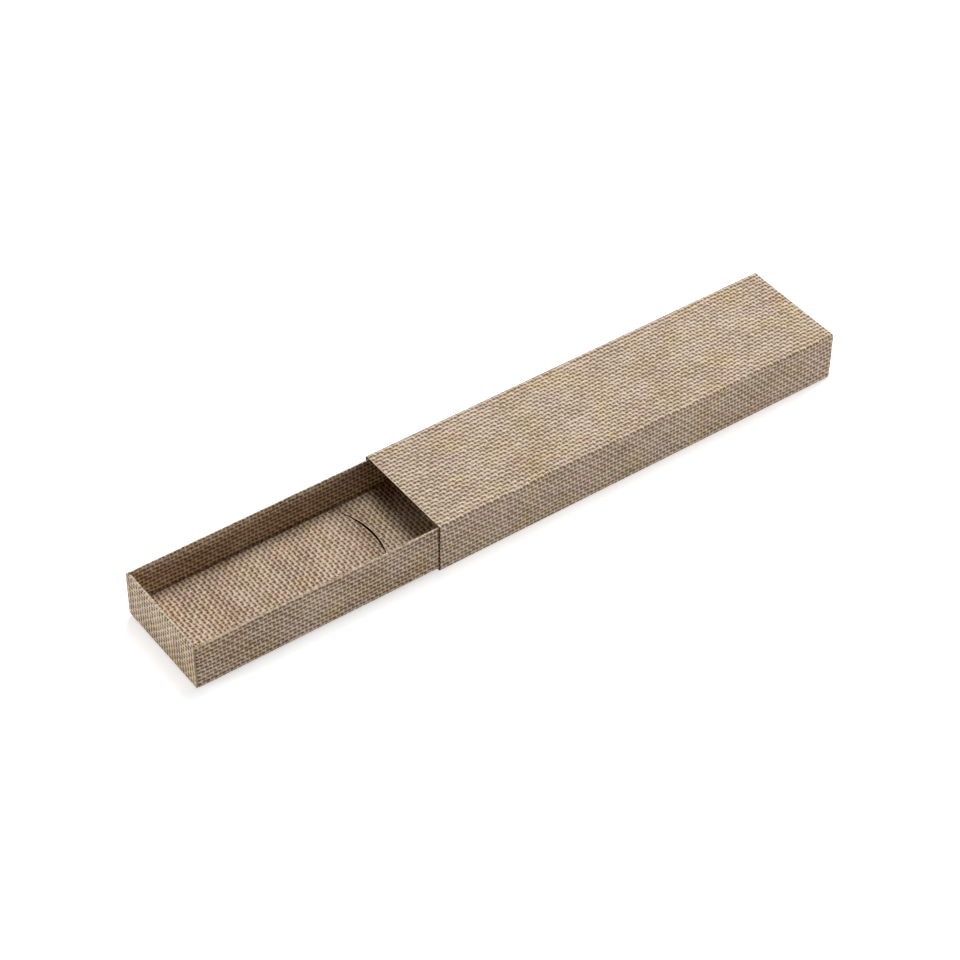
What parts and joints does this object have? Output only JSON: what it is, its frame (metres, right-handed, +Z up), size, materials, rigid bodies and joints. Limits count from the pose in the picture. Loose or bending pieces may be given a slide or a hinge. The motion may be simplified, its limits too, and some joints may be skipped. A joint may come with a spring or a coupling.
{
  "type": "sliding drawer gift box",
  "caption": "Slim gift box of folded board: a shallow tray slides through an open-ended sleeve and holds a raised insert with a crescent slit.",
  "frame": {"origin": "middle of the sleeve's underside, on the surface that the box lies on", "axes": "+X along the sleeve, away from the drawn-out tray; +Y across it; +Z up"},
  "size_m": [0.2735, 0.045, 0.0207],
  "materials": {
    "sleeve_board": "matte",
    "tray_board": "matte",
    "insert_board": "matte"
  },
  "bodies": {
    "sleeve": {"sleeve_top_panel": "sleeve_board", "sleeve_near_side": "sleeve_board", "sleeve_bottom_panel": "sleeve_board", "sleeve_far_side": "sleeve_board", "sleeve_glue_flap": "sleeve_board"},
    "tray": {"tray_base_panel": "tray_board", "tray_near_outer_wall": "tray_board", "tray_near_inner_wall": "tray_board", "tray_far_outer_wall": "tray_board", "tray_far_inner_wall": "tray_board", "tray_front_outer_wall": "tray_board", "tray_front_inner_wall": "tray_board", "tray_rear_outer_wall": "tray_board", "tray_rear_inner_wall": "tray_board", "tray_front_near_corner_tab": "tray_board", "tray_front_far_corner_tab": "tray_board", "tray_rear_near_corner_tab": "tray_board", "tray_rear_far_corner_tab": "tray_board"},
    "insert": {"insert_platform": "insert_board", "insert_near_leg": "insert_board", "insert_far_leg": "insert_board", "insert_front_leg": "insert_board", "insert_rear_leg": "insert_board"},
    "tongue": {"insert_tongue": "insert_board"}
  },
  "joints": [
    {"name": "tray_slide", "type": "slide", "parent": "sleeve", "child": "tray", "axis": [-1, 0, 0], "range_m": [-0.2485, 0.0525]},
    {"name": "insert_lift", "type": "slide", "parent": "tray", "child": "insert", "axis": [0, 0, 1], "range_m": [0, 0.0135]},
    {"name": "tongue_flex", "type": "hinge", "parent": "insert", "child": "tongue", "pos_m": [-0.10325, 0.00175, 0.00598], "axis": [0, 1, 0], "range_deg": [-32, 30], "stiffness_Nm_per_rad": 0.002}
  ]
}
